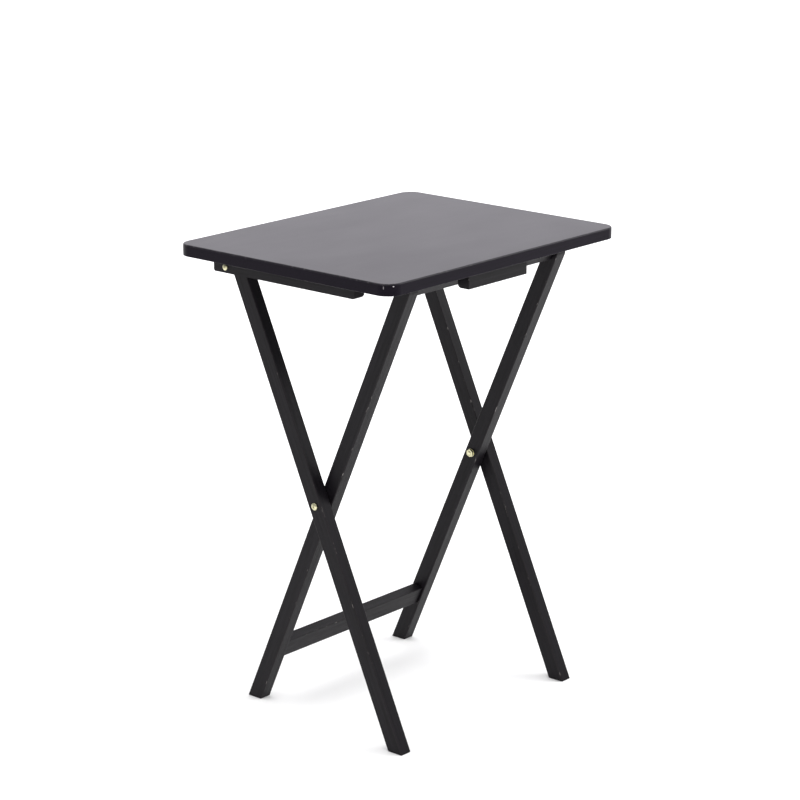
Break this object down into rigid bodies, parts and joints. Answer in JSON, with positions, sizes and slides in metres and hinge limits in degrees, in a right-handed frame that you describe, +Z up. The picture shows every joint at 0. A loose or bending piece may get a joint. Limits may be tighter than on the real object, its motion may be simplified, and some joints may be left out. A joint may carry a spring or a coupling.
{
  "type": "folding tray table",
  "caption": "Folding tray table with a rectangular wooden top on crossed wooden legs, side battens, a rail catch and bolted pivots.",
  "frame": {"origin": "on the floor, under the centre of the top, which is the centre of the table's footprint", "axes": "+X along the long side of the top, -Y towards the front edge with the catch block, +Y towards the edge with the pivots, +Z up"},
  "size_m": [0.478, 0.381, 0.66],
  "materials": {
    "lacquered_top": "satin black lacquer",
    "stained_frame": "black stain under satin lacquer, grain just visible",
    "brass": "brass plated, satin",
    "nylon": "natural nylon",
    "steel_screw": "zinc plated",
    "beech_dowel": "bare beech"
  },
  "bodies": {
    "top_pivots": {"pivot_bolt_left": "brass", "pivot_bolt_right": "brass", "pivot_nut_left": "brass", "pivot_nut_right": "brass"},
    "outer_frame": {"outer_leg_left": "stained_frame", "outer_leg_right": "stained_frame", "cross_bolt_left": "brass", "cross_bolt_right": "brass", "cross_nut_left": "brass", "cross_nut_right": "brass", "cross_washer_left": "brass", "cross_washer_right": "brass", "cross_spacer_left": "nylon", "cross_spacer_right": "nylon", "pivot_spacer_left": "nylon", "pivot_spacer_right": "nylon"},
    "inner_frame": {"inner_leg_left": "stained_frame", "inner_leg_right": "stained_frame", "upper_rail": "stained_frame", "lower_stretcher": "stained_frame", "rail_dowels": "beech_dowel", "stretcher_dowels": "beech_dowel"},
    "top": {"tabletop": "lacquered_top", "batten_left": "stained_frame", "batten_right": "stained_frame", "catch_block": "stained_frame", "batten_screws": "steel_screw", "catch_screws": "steel_screw"}
  },
  "joints": [
    {"name": "leg_swing", "type": "hinge", "parent": "top_pivots", "child": "outer_frame", "pos_m": [0, 0.13076, 0.63], "axis": [1, 0, 0], "range_deg": [0, 23.9]},
    {"name": "leg_fold", "type": "hinge", "parent": "outer_frame", "child": "inner_frame", "pos_m": [0, -0.0088, 0.318], "axis": [-1, 0, 0], "range_deg": [0, 47.8]},
    {"name": "top_lift", "type": "hinge", "parent": "top_pivots", "child": "top", "pos_m": [0, 0.13076, 0.63], "axis": [-1, 0, 0], "range_deg": [0, 90]}
  ],
  "couplings": [
    {"joint": "leg_swing", "follows": "leg_fold", "ratio": 0.5}
  ]
}
